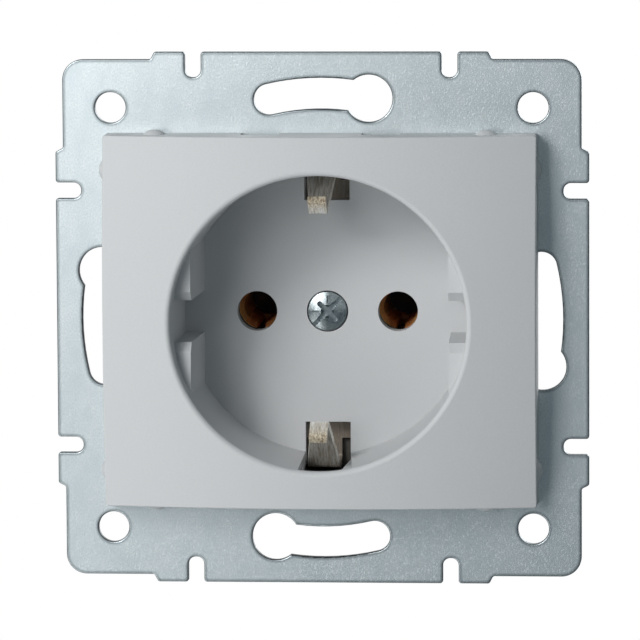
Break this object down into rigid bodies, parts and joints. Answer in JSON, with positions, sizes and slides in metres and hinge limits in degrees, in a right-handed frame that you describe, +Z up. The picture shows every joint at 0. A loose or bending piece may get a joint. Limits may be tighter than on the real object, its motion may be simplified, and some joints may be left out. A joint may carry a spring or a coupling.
{
  "type": "type f wall socket",
  "caption": "Flush earthed wall socket insert: plated fixing strap, domed cover with a round plug well, side earth clips and sleeve contacts, and an insulating base with screw terminals.",
  "frame": {"origin": "middle of the strap's rear face, which lies on the wall", "axes": "+X to the right seen from the room, +Y into the wall, +Z up"},
  "size_m": [0.071, 0.0399, 0.071],
  "materials": {
    "strap": "zinc plated, fine rolled grain",
    "cover": "satin silver-grey moulding",
    "steel": "zinc plated",
    "earth": "tin plated, bare at the cut ends",
    "base": "plain dark brown-grey moulding",
    "contact": "bare sheet",
    "clamp": "bare sheet"
  },
  "bodies": {
    "root": {"mounting_strap": "strap", "strap_rivets": "steel", "cover_plate": "cover", "cover_screw": "steel", "earth_bar": "earth", "bar_screws": "steel", "contact_retainer": "base", "socket_base": "base", "left_contact": "contact", "right_contact": "contact", "left_contact_spring": "steel", "right_contact_spring": "steel", "left_terminal_clamp": "clamp", "right_terminal_clamp": "clamp", "earth_terminal_clamp": "clamp", "left_terminal_screw": "steel", "right_terminal_screw": "steel", "earth_terminal_screw": "steel"}
  },
  "joints": []
}
